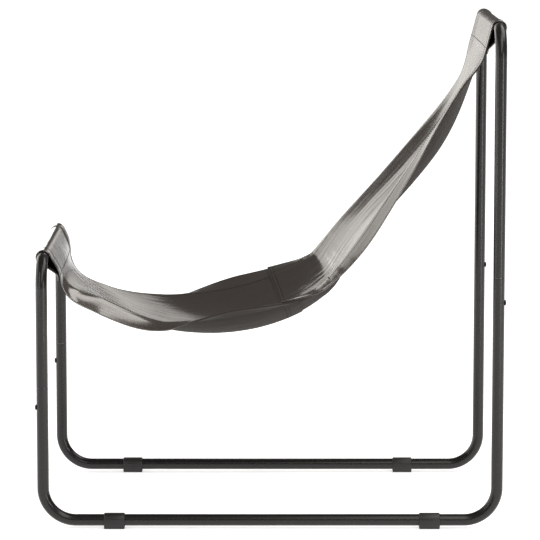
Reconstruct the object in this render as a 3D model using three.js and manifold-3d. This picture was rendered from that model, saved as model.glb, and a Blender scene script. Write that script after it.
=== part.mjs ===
// Leather sling lounge chair: a bent tube frame in four bolted pieces and a sling of two leather panels.
// Millimetres, +Z up, the front faces -Y, the origin lies on the floor under the middle of the chair.
import * as THREE from 'three';
import { mergeVertices } from 'three/addons/utils/BufferGeometryUtils.js';
import Module from 'manifold-3d';

const wasm = await Module();
wasm.setup();

// Frame tubes
const TUBE_DIAMETER = 25;
const TUBE_WALL = 1.5;
const FRAME_WIDTH = 600; // upright axis to upright axis, left to right
const FRAME_DEPTH = 970; // upright axis to upright axis, front to rear
const RAIL_BEND_RADIUS = 70;
const HOOP_BEND_RADIUS = 60;
const FRONT_BAR_HEIGHT = 576; // crossbar axis above the floor
const REAR_BAR_HEIGHT = 1066;

// Knock-down joints in the uprights
const FRONT_SEAM_HEIGHT = 304;
const REAR_SEAM_HEIGHT = 541;
const SEAM_GAP = 0.6;
const SPIGOT_WALL = 1.5;
const SPIGOT_REACH_ABOVE = 60; // above the seam, inside the hoop leg
const SPIGOT_REACH_BELOW_BOLT = 14;
const FRONT_BOLT_DROP = 41; // bolt axis below the seam
const REAR_BOLT_DROP = 53;

// Bolts and captive nuts
const BOLT_DIAMETER = 6;
const BOLT_HEAD_DIAMETER = 12;
const BOLT_HEAD_HEIGHT = 3.6;
const BOLT_HEAD_RIM = 1.2;
const BOLT_TIP_CHAMFER = 0.6;
const BOLT_TIP_PAST_NUT = 0.6;
const SOCKET_ACROSS_FLATS = 4;
const SOCKET_DEPTH = 2;
const NUT_ACROSS_FLATS = 10;
const NUT_THICKNESS = 4.5;

// Foot glides on the rails
const GLIDE_LENGTH = 44;
const GLIDE_WALL = 2.5;
const GLIDE_FOOT = 5.5; // rail underside above the floor
const GLIDE_CORNER_RADIUS = 5;
const GLIDE_END_BEVEL = 0.8;
const FRONT_LEFT_GLIDE_SETBACK = 152; // glide centre from the nearest upright axis
const FRONT_RIGHT_GLIDE_SETBACK = 165;
const REAR_LEFT_GLIDE_SETBACK = 144;
const REAR_RIGHT_GLIDE_SETBACK = 177;

// Leather sling
const LEATHER_THICKNESS = 3;
const POCKET_SIDE_CLEARANCE = 2; // sling edge to the start of the crossbar's bend
const POCKET_DEPTH = 48; // crossbar axis to the pocket stitching
const POCKET_ALLOWANCE = 12; // turned-under leather past the stitching
const FRONT_POCKET_PITCH = THREE.MathUtils.degToRad(63); // sling below level where it leaves the bar
const REAR_POCKET_PITCH = THREE.MathUtils.degToRad(75);
const HEM_WIDTH = 43; // sling edge to the hem stitching
const SEAT_LOW_SETBACK = 272; // lowest point of the hem stitching's line, behind the front crossbar axis
const SEAT_LOW_HEIGHT = 429;
const KINK_SETBACK = 596; // where seat turns up into back, behind the front crossbar axis
const KINK_HEIGHT = 518;
const SEAT_END_PITCH = THREE.MathUtils.degToRad(39); // the line's rise on each side of that kink
const BACK_START_PITCH = THREE.MathUtils.degToRad(53);
const FRONT_FALL = 72; // spline handle lengths along the line
const SEAT_LEAD_IN = 50;
const SEAT_LEAD_ON = 62;
const SEAT_RUN_OUT = 107;
const REST_LEAD_IN = 264;
const REST_RUN_OUT = 112;
const SEAT_SAG = 60; // middle of the sling below its hem stitching
const BACK_SAG = 44;
const FRONT_HEM_FOLD = THREE.MathUtils.degToRad(82); // hems turned down behind the front bar
const BACK_HEM_FOLD = THREE.MathUtils.degToRad(61); // and at the foot of the back
const FRONT_TWIST = 21; // left stitching above the line, right stitching as far below it
const MIDDLE_TWIST = -11.4;
const BACK_TWIST = 11.3;
const SLING_REACH = 1180; // open sling that the shares below are of; they run on into the pockets
const SEAT_SAG_SPAN = { from: 0, peak: 0.352, to: 0.661 };
const BACK_SAG_SPAN = { from: 0.33, peak: 0.79, to: 1.038 };
const FRONT_FOLD_SPAN = { from: -0.012, peak: 0.06, to: 0.341 };
const BACK_FOLD_SPAN = { from: 0.24, peak: 0.663, to: 0.952 };
const FRONT_TWIST_SPAN = { from: -0.038, peak: 0.02, to: 0.22 };
const MIDDLE_TWIST_SPAN = { from: 0.159, peak: 0.538, to: 0.753 };
const BACK_TWIST_SPAN = { from: 0.703, peak: 0.919, to: 1 };
const SEAT_RUN = 492; // front pocket to the lap seam, along the line
const LAP_OVERLAP = 36;

// Fits
const CLEARANCE = 0.3;

// Fineness
const TUBE_SIDES = 20;
const BEND_STEPS = 8;
const SMALL_SIDES = 16;
const CORNER_STEPS = 3;
const CROWN_STEPS = 4;
const POCKET_ARC_STEPS = 14;
const FLAP_STEPS = 3;
const SEAT_STEPS = 16;
const LAP_STEPS = 2;
const BACK_STEPS = 18;
const PANEL_COLUMNS = [0.3, 0.6, 0.85, 1]; // shares of the way from the middle to the hem stitching
const HEM_COLUMNS = [ // shares of the hem's width and of its fold
  { reach: 0.25, turn: 0.5 },
  { reach: 0.6, turn: 1 },
  { reach: 1, turn: 1 },
];

// Derived sizes
const tubeRadius = TUBE_DIAMETER / 2;
const boreRadius = tubeRadius - TUBE_WALL;
const spigotRadius = boreRadius - CLEARANCE;
const spigotBore = spigotRadius - SPIGOT_WALL;
const halfWidth = FRAME_WIDTH / 2;
const halfDepth = FRAME_DEPTH / 2;
const railHeight = GLIDE_FOOT + tubeRadius;
const boltHoleRadius = BOLT_DIAMETER / 2 + CLEARANCE;
const nutFace = Math.sqrt(spigotBore ** 2 - (NUT_ACROSS_FLATS / 2) ** 2) - CLEARANCE;
const stitchingHalfWidth = halfWidth - HOOP_BEND_RADIUS - POCKET_SIDE_CLEARANCE - HEM_WIDTH;
const pocketRadius = tubeRadius + CLEARANCE + LEATHER_THICKNESS / 2;
const layerStep = LEATHER_THICKNESS + CLEARANCE;
const pocketReach = POCKET_DEPTH + POCKET_ALLOWANCE;

const corners = [
  { end: 'front', side: 'left', along: -1, across: 1, glideSetback: FRONT_LEFT_GLIDE_SETBACK },
  { end: 'front', side: 'right', along: -1, across: -1, glideSetback: FRONT_RIGHT_GLIDE_SETBACK },
  { end: 'rear', side: 'left', along: 1, across: 1, glideSetback: REAR_LEFT_GLIDE_SETBACK },
  { end: 'rear', side: 'right', along: 1, across: -1, glideSetback: REAR_RIGHT_GLIDE_SETBACK },
];
const seamHeight = { front: FRONT_SEAM_HEIGHT, rear: REAR_SEAM_HEIGHT };
const boltDrop = { front: FRONT_BOLT_DROP, rear: REAR_BOLT_DROP };

const powderCoat = () => new THREE.MeshStandardMaterial({ color: 0x232324, roughness: 0.42, metalness: 0.2 });
const bareSteel = () => new THREE.MeshStandardMaterial({ color: 0x8c9096, roughness: 0.4, metalness: 0.9 });
const blackOxide = () => new THREE.MeshStandardMaterial({ color: 0x1b1b1c, roughness: 0.35, metalness: 0.6 });
const rubber = () => new THREE.MeshStandardMaterial({ color: 0x191919, roughness: 0.75, metalness: 0 });
const leather = () => new THREE.MeshStandardMaterial({ color: 0x2e2825, roughness: 0.33, metalness: 0 });

// Boolean cuts on closed geometries
function toSolid(geometry) {
  const bare = geometry.clone();
  bare.deleteAttribute('normal');
  bare.deleteAttribute('uv');
  const merged = mergeVertices(bare, 1e-4);
  const vertProperties = new Float32Array(merged.attributes.position.array);
  const triVerts = new Uint32Array(merged.index.array);
  return new wasm.Manifold(new wasm.Mesh({ numProp: 3, vertProperties, triVerts }));
}

function cut(geometry, tools) {
  let solid = toSolid(geometry);
  for (const tool of tools) {
    solid = solid.subtract(toSolid(tool));
  }
  const mesh = solid.getMesh();
  const result = new THREE.BufferGeometry();
  result.setAttribute('position', new THREE.BufferAttribute(mesh.vertProperties, 3));
  result.setIndex(new THREE.BufferAttribute(mesh.triVerts, 1));
  result.computeVertexNormals();
  return result;
}

// A tube's route through chosen stations, so that straight runs take one step and bends take several
class StationRoute extends THREE.Curve {
  constructor(stations) {
    super();
    this.stations = stations;
  }

  getPoint(t, target = new THREE.Vector3()) {
    const place = t * (this.stations.length - 1);
    const index = Math.min(Math.floor(place), this.stations.length - 2);
    return target.lerpVectors(this.stations[index], this.stations[index + 1], place - index);
  }

  getUtoTmapping(u) {
    return u;
  }
}

function bendStations(corner, before, after, radius) {
  const backwards = before.clone().sub(corner).normalize();
  const forwards = after.clone().sub(corner).normalize();
  const centre = corner.clone().addScaledVector(backwards, radius).addScaledVector(forwards, radius);
  return Array.from({ length: BEND_STEPS + 1 }, (_, step) => {
    const angle = (step / BEND_STEPS) * (Math.PI / 2);
    return centre.clone()
      .addScaledVector(forwards, -radius * Math.cos(angle))
      .addScaledVector(backwards, -radius * Math.sin(angle));
  });
}

function ringSection(outer, inner) {
  const ring = new THREE.Shape();
  ring.absarc(0, 0, outer, 0, 2 * Math.PI);
  const bore = new THREE.Path();
  bore.absarc(0, 0, inner, 0, 2 * Math.PI, true);
  ring.holes.push(bore);
  return ring;
}

// A U-shaped tube through four corner points, square bends at the middle two
function bentTube(points, radius) {
  const [start, first, second, end] = points;
  const stations = [
    start,
    ...bendStations(first, start, second, radius),
    ...bendStations(second, first, end, radius),
    end,
  ];
  return new THREE.ExtrudeGeometry(ringSection(tubeRadius, boreRadius), {
    steps: stations.length - 1,
    extrudePath: new StationRoute(stations),
    curveSegments: TUBE_SIDES / 2,
  });
}

function hoop(end, along, barHeight) {
  const foot = seamHeight[end] + SEAM_GAP / 2;
  const place = (across, height) => new THREE.Vector3(across * halfWidth, along * halfDepth, height);
  return bentTube(
    [place(1, foot), place(1, barHeight), place(-1, barHeight), place(-1, foot)],
    HOOP_BEND_RADIUS,
  );
}

// A hole for one bolt, from outside the upright to its axis
function boltHole(end, along, across) {
  const hole = new THREE.CylinderGeometry(boltHoleRadius, boltHoleRadius, TUBE_DIAMETER, SMALL_SIDES);
  const height = seamHeight[end] - boltDrop[end];
  hole.translate(across * halfWidth, along * (halfDepth + tubeRadius), height);
  return hole;
}

function sideRail(across) {
  const place = (along, height) => new THREE.Vector3(across * halfWidth, along * halfDepth, height);
  const top = (end) => seamHeight[end] - SEAM_GAP / 2;
  const tube = bentTube(
    [place(-1, top('front')), place(-1, railHeight), place(1, railHeight), place(1, top('rear'))],
    RAIL_BEND_RADIUS,
  );
  return cut(tube, [boltHole('front', -1, across), boltHole('rear', 1, across)]);
}

function spigot({ end, along, across }) {
  const below = boltDrop[end] + SPIGOT_REACH_BELOW_BOLT;
  const tube = new THREE.ExtrudeGeometry(ringSection(spigotRadius, spigotBore), {
    depth: below + SPIGOT_REACH_ABOVE,
    bevelEnabled: false,
    curveSegments: TUBE_SIDES / 2,
  });
  tube.translate(across * halfWidth, along * halfDepth, seamHeight[end] - below);
  return cut(tube, [boltHole(end, along, across)]);
}

// Button-head bolt along +Y: the origin is the upright's axis, the head is outside
function bolt() {
  const shank = BOLT_DIAMETER / 2;
  const head = BOLT_HEAD_DIAMETER / 2;
  const tip = nutFace - NUT_THICKNESS - BOLT_TIP_PAST_NUT;
  const seat = tubeRadius + CLEARANCE;
  const top = seat + BOLT_HEAD_HEIGHT;
  const crown = Array.from({ length: CROWN_STEPS + 1 }, (_, step) => {
    const angle = (step / CROWN_STEPS) * (Math.PI / 2);
    const rim = seat + BOLT_HEAD_RIM;
    return new THREE.Vector2(head * Math.cos(angle), rim + (top - rim) * Math.sin(angle));
  });
  crown[crown.length - 1].x = 0;
  const profile = [
    new THREE.Vector2(0, tip),
    new THREE.Vector2(shank - BOLT_TIP_CHAMFER, tip),
    new THREE.Vector2(shank, tip + BOLT_TIP_CHAMFER),
    new THREE.Vector2(shank, seat),
    new THREE.Vector2(head, seat),
    ...crown,
  ];
  const socketRadius = SOCKET_ACROSS_FLATS / Math.sqrt(3);
  const socket = new THREE.CylinderGeometry(socketRadius, socketRadius, 2 * SOCKET_DEPTH, 6);
  socket.translate(0, top, 0);
  return cut(new THREE.LatheGeometry(profile, SMALL_SIDES), [socket]);
}

function nut() {
  const radius = NUT_ACROSS_FLATS / Math.sqrt(3);
  const body = new THREE.CylinderGeometry(radius, radius, NUT_THICKNESS, 6);
  const thread = new THREE.CylinderGeometry(boltHoleRadius, boltHoleRadius, 2 * NUT_THICKNESS, SMALL_SIDES);
  const result = cut(body, [thread]);
  result.translate(0, nutFace - NUT_THICKNESS / 2, 0);
  return result;
}

function arcPoints(centreX, centreY, radius, from, to, steps) {
  return Array.from({ length: steps + 1 }, (_, step) => {
    const angle = from + ((to - from) * step) / steps;
    return new THREE.Vector2(centreX + radius * Math.cos(angle), centreY + radius * Math.sin(angle));
  });
}

// Sleeve round the rail with a thick flat foot below it
function glide() {
  const bore = tubeRadius + CLEARANCE;
  const outer = bore + GLIDE_WALL;
  const corner = GLIDE_CORNER_RADIUS;
  const cornerHeight = corner - railHeight;
  const section = new THREE.Shape([
    ...arcPoints(0, 0, outer, 0, Math.PI, TUBE_SIDES / 2),
    ...arcPoints(corner - outer, cornerHeight, corner, Math.PI, 1.5 * Math.PI, CORNER_STEPS),
    ...arcPoints(outer - corner, cornerHeight, corner, 1.5 * Math.PI, 2 * Math.PI, CORNER_STEPS),
  ]);
  const around = arcPoints(0, 0, bore, 2 * Math.PI, 0, TUBE_SIDES);
  section.holes.push(new THREE.Path(around.slice(1)));
  const sleeve = new THREE.ExtrudeGeometry(section, {
    depth: GLIDE_LENGTH - 2 * GLIDE_END_BEVEL,
    bevelThickness: GLIDE_END_BEVEL,
    bevelSize: GLIDE_END_BEVEL,
    bevelOffset: -GLIDE_END_BEVEL,
    bevelSegments: 1,
  });
  sleeve.translate(0, 0, GLIDE_END_BEVEL - GLIDE_LENGTH / 2);
  sleeve.rotateX(Math.PI / 2);
  return sleeve;
}

// One crossbar's sewn pocket as sheet stations, from the tucked-in flap round the bar to the open sling.
// `lift` is how far the sheet's middle lies outside these stations.
function pocketStations(barAlong, barHeight, inward, pitch, lift) {
  const radius = pocketRadius - lift;
  const flapLevel = pocketRadius - layerStep + lift;
  const reach = Math.hypot(POCKET_DEPTH, flapLevel);
  const leave = Math.atan2(flapLevel, POCKET_DEPTH) - Math.acos(radius / reach);
  const outline = [new THREE.Vector2(pocketReach, flapLevel)];
  const touch = new THREE.Vector2(radius * Math.cos(leave), radius * Math.sin(leave));
  for (let step = 0; step < FLAP_STEPS; step += 1) {
    outline.push(new THREE.Vector2(POCKET_DEPTH, flapLevel).lerp(touch, step / FLAP_STEPS));
  }
  const sweep = leave + 1.5 * Math.PI;
  for (let step = 0; step <= POCKET_ARC_STEPS; step += 1) {
    const angle = leave - (step / POCKET_ARC_STEPS) * sweep;
    outline.push(new THREE.Vector2(radius * Math.cos(angle), radius * Math.sin(angle)));
  }
  for (const reached of [POCKET_DEPTH / 2, POCKET_DEPTH, pocketReach]) {
    outline.push(new THREE.Vector2(reached, radius));
  }
  return outline.map((point) => ({
    along: barAlong + inward * (point.x * Math.cos(pitch) + point.y * Math.sin(pitch)),
    height: barHeight - point.x * Math.sin(pitch) + point.y * Math.cos(pitch),
    up: new THREE.Vector2(inward * Math.sin(pitch), Math.cos(pitch)),
    share: (1 - inward) / 2 - (inward * (pocketReach - point.x)) / SLING_REACH,
  }));
}

// The sling's line from pocket to pocket: down behind the front bar, along the seat, up the back
function slingLine(frontExit, rearExit) {
  const heading = (pitch) => new THREE.Vector2(Math.cos(pitch), Math.sin(pitch));
  const start = new THREE.Vector2(frontExit.along, frontExit.height);
  const low = new THREE.Vector2(SEAT_LOW_SETBACK - halfDepth, SEAT_LOW_HEIGHT);
  const kink = new THREE.Vector2(KINK_SETBACK - halfDepth, KINK_HEIGHT);
  const finish = new THREE.Vector2(rearExit.along, rearExit.height);
  const past = (point, pitch, length) => point.clone().addScaledVector(heading(pitch), length);
  const line = new THREE.CurvePath();
  line.add(new THREE.CubicBezierCurve(
    start, past(start, -FRONT_POCKET_PITCH, FRONT_FALL), past(low, 0, -SEAT_LEAD_IN), low));
  line.add(new THREE.CubicBezierCurve(
    low, past(low, 0, SEAT_LEAD_ON), past(kink, SEAT_END_PITCH, -SEAT_RUN_OUT), kink));
  line.add(new THREE.CubicBezierCurve(
    kink, past(kink, BACK_START_PITCH, REST_LEAD_IN),
    past(finish, REAR_POCKET_PITCH, -REST_RUN_OUT), finish));
  return line;
}

// Stations along a stretch of that line, `share` being the place from the front pocket to the rear one
function lineStations(line, from, to, steps) {
  return Array.from({ length: steps + 1 }, (_, step) => {
    const share = from + ((to - from) * step) / steps;
    const point = line.getPoint(share);
    const heading = line.getTangent(share);
    return { along: point.x, height: point.y, up: new THREE.Vector2(-heading.y, heading.x), share };
  });
}

function bump(place, { from, peak, to }) {
  const offset = place < peak ? (peak - place) / (peak - from) : (place - peak) / (to - peak);
  return Math.cos((Math.min(offset, 1) * Math.PI) / 2) ** 2;
}

// How the leather hangs at a place along the line
function hang(share) {
  return {
    sag: SEAT_SAG * bump(share, SEAT_SAG_SPAN) + BACK_SAG * bump(share, BACK_SAG_SPAN),
    fold: FRONT_HEM_FOLD * bump(share, FRONT_FOLD_SPAN) + BACK_HEM_FOLD * bump(share, BACK_FOLD_SPAN),
    twist: FRONT_TWIST * bump(share, FRONT_TWIST_SPAN)
      + MIDDLE_TWIST * bump(share, MIDDLE_TWIST_SPAN)
      + BACK_TWIST * bump(share, BACK_TWIST_SPAN),
  };
}

// One side of a section, from the middle out to the hem's edge: places across the chair and above the line.
// The leather keeps its width, so a sagging section draws in.
function halfSection({ sag, fold, twist }, side) {
  const section = [];
  let across = 0;
  let rise = -sag;
  let column = 0;
  for (const nextColumn of PANEL_COLUMNS) {
    const nextRise = -sag * (1 - nextColumn ** 2) + side * twist * nextColumn;
    const leather = (nextColumn - column) * stitchingHalfWidth;
    across += Math.sqrt(leather ** 2 - (nextRise - rise) ** 2);
    rise = nextRise;
    column = nextColumn;
    section.push({ across: side * across, rise });
  }
  const slope = Math.atan2(2 * sag + side * twist, stitchingHalfWidth);
  let reached = 0;
  for (const { reach, turn } of HEM_COLUMNS) {
    const leather = (reach - reached) * HEM_WIDTH;
    across += leather * Math.cos(slope - turn * fold);
    rise += leather * Math.sin(slope - turn * fold);
    reached = reach;
    section.push({ across: side * across, rise });
  }
  return section;
}

// One station's points across the sling, from the right edge to the left one
function crossSection(station) {
  const hung = hang(station.share);
  const middle = { across: 0, rise: -hung.sag };
  return [...halfSection(hung, -1).reverse(), middle, ...halfSection(hung, 1)].map(({ across, rise }) => (
    new THREE.Vector3(across, station.along + station.up.x * rise, station.height + station.up.y * rise)
  ));
}

// A closed sheet of leather over rows of middle points, its own middle lifted off those rows
function leatherSheet(stations, lift) {
  const rows = stations.map(crossSection);
  const columnCount = rows[0].length;
  const clampRow = (index) => rows[Math.min(Math.max(index, 0), rows.length - 1)];
  const normalAt = (row, column) => {
    const left = rows[row][Math.max(column - 1, 0)];
    const right = rows[row][Math.min(column + 1, columnCount - 1)];
    const across = right.clone().sub(left);
    const along = clampRow(row + 1)[column].clone().sub(clampRow(row - 1)[column]);
    return across.cross(along).normalize();
  };
  const over = [];
  const under = [];
  rows.forEach((points, row) => points.forEach((point, column) => {
    const normal = normalAt(row, column);
    over.push(...point.clone().addScaledVector(normal, lift + LEATHER_THICKNESS / 2).toArray());
    under.push(...point.clone().addScaledVector(normal, lift - LEATHER_THICKNESS / 2).toArray());
  }));
  const underStart = over.length / 3;
  const index = [];
  const quad = (a, b, c, d) => index.push(a, b, c, a, c, d);
  const upper = (row, column) => row * columnCount + column;
  const lower = (row, column) => underStart + upper(row, column);
  const lastRow = rows.length - 1;
  const lastColumn = columnCount - 1;
  for (let row = 0; row < lastRow; row += 1) {
    for (let column = 0; column < lastColumn; column += 1) {
      quad(upper(row, column), upper(row, column + 1), upper(row + 1, column + 1), upper(row + 1, column));
      quad(lower(row, column), lower(row + 1, column), lower(row + 1, column + 1), lower(row, column + 1));
    }
    quad(upper(row, 0), upper(row + 1, 0), lower(row + 1, 0), lower(row, 0));
    quad(
      upper(row + 1, lastColumn), upper(row, lastColumn),
      lower(row, lastColumn), lower(row + 1, lastColumn),
    );
  }
  for (let column = 0; column < lastColumn; column += 1) {
    quad(upper(0, column + 1), upper(0, column), lower(0, column), lower(0, column + 1));
    quad(
      upper(lastRow, column), upper(lastRow, column + 1),
      lower(lastRow, column + 1), lower(lastRow, column),
    );
  }
  const geometry = new THREE.BufferGeometry();
  geometry.setAttribute('position', new THREE.Float32BufferAttribute([...over, ...under], 3));
  geometry.setIndex(index);
  geometry.computeVertexNormals();
  return geometry;
}

// Seat panel below, back panel lapped over its rear end
function slingPanels() {
  const frontPocket = pocketStations(-halfDepth, FRONT_BAR_HEIGHT, 1, FRONT_POCKET_PITCH, 0);
  const rearPocket = pocketStations(halfDepth, REAR_BAR_HEIGHT, -1, REAR_POCKET_PITCH, layerStep);
  const line = slingLine(frontPocket.at(-1), rearPocket.at(-1));
  const lapStart = SEAT_RUN / line.getLength();
  const lapEnd = (SEAT_RUN + LAP_OVERLAP) / line.getLength();
  const lap = lineStations(line, lapStart, lapEnd, LAP_STEPS);
  const seat = lineStations(line, 0, lapStart, SEAT_STEPS);
  const back = lineStations(line, lapEnd, 1, BACK_STEPS);
  const seatStations = [...frontPocket, ...seat.slice(1), ...lap.slice(1)];
  const backStations = [...lap, ...back.slice(1, -1), ...rearPocket.toReversed()];
  return { seat: leatherSheet(seatStations, 0), back: leatherSheet(backStations, layerStep) };
}

function piece(name, geometry, material) {
  const mesh = new THREE.Mesh(geometry, material);
  mesh.name = name;
  return mesh;
}

const chair = new THREE.Group();
chair.add(piece('front_hoop', hoop('front', -1, FRONT_BAR_HEIGHT), powderCoat()));
chair.add(piece('rear_hoop', hoop('rear', 1, REAR_BAR_HEIGHT), powderCoat()));
chair.add(piece('left_side_rail', sideRail(1), powderCoat()));
chair.add(piece('right_side_rail', sideRail(-1), powderCoat()));

for (const corner of corners) {
  const { end, side, along, across, glideSetback } = corner;
  const label = `${end}_${side}`;
  chair.add(piece(`${label}_spigot`, spigot(corner), bareSteel()));

  const joint = new THREE.Group();
  joint.position.set(across * halfWidth, along * halfDepth, seamHeight[end] - boltDrop[end]);
  joint.rotation.z = along > 0 ? 0 : Math.PI;
  joint.add(piece(`${label}_bolt`, bolt(), blackOxide()));
  joint.add(piece(`${label}_nut`, nut(), bareSteel()));
  chair.add(joint);

  const foot = piece(`${label}_glide`, glide(), rubber());
  foot.position.set(across * halfWidth, along * (halfDepth - glideSetback), railHeight);
  chair.add(foot);
}

const panels = slingPanels();
chair.add(piece('seat_panel', panels.seat, leather()));
chair.add(piece('back_panel', panels.back, leather()));

export default chair;
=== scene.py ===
import bisect
import math
from collections import namedtuple

import bmesh
import bpy
from bpy.props import FloatProperty, FloatVectorProperty, IntProperty, PointerProperty
from mathutils import Matrix, Vector, noise
from mathutils.geometry import interpolate_bezier


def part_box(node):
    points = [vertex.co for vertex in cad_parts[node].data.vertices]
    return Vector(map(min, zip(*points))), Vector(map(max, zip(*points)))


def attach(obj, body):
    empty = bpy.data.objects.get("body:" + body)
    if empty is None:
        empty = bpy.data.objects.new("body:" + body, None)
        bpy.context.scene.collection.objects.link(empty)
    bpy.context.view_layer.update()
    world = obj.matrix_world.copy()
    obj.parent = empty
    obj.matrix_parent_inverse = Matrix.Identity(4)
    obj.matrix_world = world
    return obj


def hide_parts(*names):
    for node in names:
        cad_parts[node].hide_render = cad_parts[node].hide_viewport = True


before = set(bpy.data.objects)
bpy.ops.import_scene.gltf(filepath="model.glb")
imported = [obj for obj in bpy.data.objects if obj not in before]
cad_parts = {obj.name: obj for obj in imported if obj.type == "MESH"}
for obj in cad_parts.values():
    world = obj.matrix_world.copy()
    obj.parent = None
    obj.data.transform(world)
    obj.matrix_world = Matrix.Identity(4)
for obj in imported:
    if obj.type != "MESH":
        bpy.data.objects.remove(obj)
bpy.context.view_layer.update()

bl_info = {
    "name": "Leather sling lounge chair",
    "version": (1, 0, 0),
    "blender": (4, 5, 0),
    "location": "3D View > Sidebar > Sling chair",
    "description": "Dresses the packed chair: round tube frame, fittings, sewn leather sling and studio",
    "category": "Object",
}

BODY = "root"
CORNERS = [(end, side) for end in ("front", "rear") for side in ("left", "right")]
SIDES = (-1, 1)
QUARTER_TURN = math.pi / 2
SHARP_ANGLE = math.radians(38)  # edges that turn further show as edges
TUBE_SHARP_ANGLE = math.radians(12)  # parts a tube's round from its chamfered ends

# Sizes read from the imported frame
FRONT_HOOP_LOW, FRONT_HOOP_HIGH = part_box("front_hoop")
REAR_HOOP_LOW, REAR_HOOP_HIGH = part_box("rear_hoop")
RAIL_LOW, RAIL_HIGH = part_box("left_side_rail")
SEAT_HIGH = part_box("seat_panel")[1]
TUBE_RADIUS = (REAR_HOOP_HIGH.y - REAR_HOOP_LOW.y) / 2
HALF_WIDTH = REAR_HOOP_HIGH.x - TUBE_RADIUS
HALF_DEPTH = REAR_HOOP_HIGH.y - TUBE_RADIUS
FRONT_BAR = Vector((0, -HALF_DEPTH, FRONT_HOOP_HIGH.z - TUBE_RADIUS))
REAR_BAR = Vector((0, HALF_DEPTH, REAR_HOOP_HIGH.z - TUBE_RADIUS))
RAIL_HEIGHT = RAIL_LOW.z + TUBE_RADIUS
SEAM_GAP = REAR_HOOP_LOW.z - RAIL_HIGH.z
LAYER_STEP = SEAT_HIGH.z - FRONT_HOOP_HIGH.z  # one sheet of the solids and its clearance
SOLID_CLEARANCE = 0.0003
SHEET_RADIUS = TUBE_RADIUS + (LAYER_STEP + SOLID_CLEARANCE) / 2  # middle of the leather round a crossbar

# The sling's line from pocket to pocket, as in the solids
POCKET_DEPTH = 0.048
POCKET_ALLOWANCE = 0.012
SLING_REACH = 1.18  # the open sling's length, by which shares run on into the pockets
FRONT_PITCH = math.radians(63)
REAR_PITCH = math.radians(75)
SEAT_LOW = Vector((0, 0.272 - HALF_DEPTH, 0.429))
KINK = Vector((0, 0.596 - HALF_DEPTH, 0.518))
SEAT_END_PITCH = math.radians(39)
BACK_START_PITCH = math.radians(53)
FRONT_FALL = 0.072
SEAT_LEAD_IN = 0.050
SEAT_LEAD_ON = 0.062
SEAT_RUN_OUT = 0.107
REST_LEAD_IN = 0.264
REST_RUN_OUT = 0.112
LINE_STEPS = 240

# How the leather hangs: start, peak and end of each sag, fold and twist, in shares of the open line
Span = namedtuple("Span", "start peak end")
SEAT_SAG_SPAN = Span(0, 0.352, 0.661)
BACK_SAG_SPAN = Span(0.33, 0.79, 1.038)
FRONT_DROOP_SPAN = Span(-0.03, 0.02, 0.085)
FRONT_FOLD_SPAN = Span(-0.018, 0.095, 0.35)
BACK_FOLD_SPAN = Span(0.31, 0.62, 1.05)
FRONT_TWIST_SPAN = Span(-0.05, 0.07, 0.22)
MIDDLE_TWIST_SPAN = Span(0.159, 0.538, 0.753)
BACK_TWIST_SPAN = Span(0.703, 0.919, 1)
HEM_TURN_SHARE = 0.5  # of the hem's width, over which it folds down

# Fineness of the leather sheets
ROW_STEP = 0.004
COLUMN_STEP = 0.004
FINE_STEP = 0.001
FINE_REACH = 0.005
POCKET_ARC_STEPS = 26
FLAP_STEPS = 14
ALLOWANCE_STEPS = 3
EDGE_STEPS = 6
TURNED_DROP = 0.4  # of a layer, from which a hem's leather counts as turned under
GRAIN_SIDE, FLESH_SIDE, CUT_EDGE = range(3)  # places of the finishes on a sheet


class TubeFrameSizes(bpy.types.PropertyGroup):
    """Bent steel tubes and their powder coat"""

    wall: FloatProperty(
        name="Tube wall", description="Thickness of the tube's wall",
        default=0.0015, unit="LENGTH")
    hoop_bend: FloatProperty(
        name="Hoop bend", description="Radius of the hoops' bends at the tube's axis",
        default=0.060, unit="LENGTH")
    rail_bend: FloatProperty(
        name="Rail bend", description="Radius of the rails' bends at the tube's axis",
        default=0.070, unit="LENGTH")
    end_chamfer: FloatProperty(
        name="End chamfer", description="Broken edge at the tubes' cut ends",
        default=0.0005, unit="LENGTH")
    sides: IntProperty(
        name="Sides", description="Faces round a tube", default=48)
    bend_steps: IntProperty(
        name="Bend steps", description="Steps in each bend", default=20)
    colour: FloatVectorProperty(
        name="Powder coat", description="Colour of the powder coat",
        default=(0.0105, 0.0102, 0.0100), subtype="COLOR")


class FittingSizes(bpy.types.PropertyGroup):
    """Button-head bolts and foot glides"""

    socket_across_flats: FloatProperty(
        name="Bolt socket", description="Hex socket across its flats",
        default=0.004, unit="LENGTH")
    socket_depth: FloatProperty(
        name="Socket depth", description="Depth of the hex socket",
        default=0.002, unit="LENGTH")
    shank_diameter: FloatProperty(
        name="Bolt shank", description="Diameter of the bolt's shank",
        default=0.006, unit="LENGTH")
    head_height: FloatProperty(
        name="Head height", description="Height of the bolt's domed head",
        default=0.0036, unit="LENGTH")
    head_rim: FloatProperty(
        name="Head rim", description="Straight rim under the bolt's dome",
        default=0.0012, unit="LENGTH")
    glide_corner: FloatProperty(
        name="Glide corner", description="Radius of a glide's lower corners",
        default=0.005, unit="LENGTH")
    glide_bevel: FloatProperty(
        name="Glide end bevel", description="Rounding at a glide's ends",
        default=0.0014, unit="LENGTH")
    glide_bore_clearance: FloatProperty(
        name="Glide clearance", description="Gap between a glide's bore and the rail",
        default=0.0003, unit="LENGTH")
    parting_height: FloatProperty(
        name="Parting line", description="Height of a glide's parting line above the floor",
        default=0.0145, unit="LENGTH")
    parting_ridge: FloatProperty(
        name="Parting ridge", description="How far the parting line stands proud",
        default=0.00035, unit="LENGTH")


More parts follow.
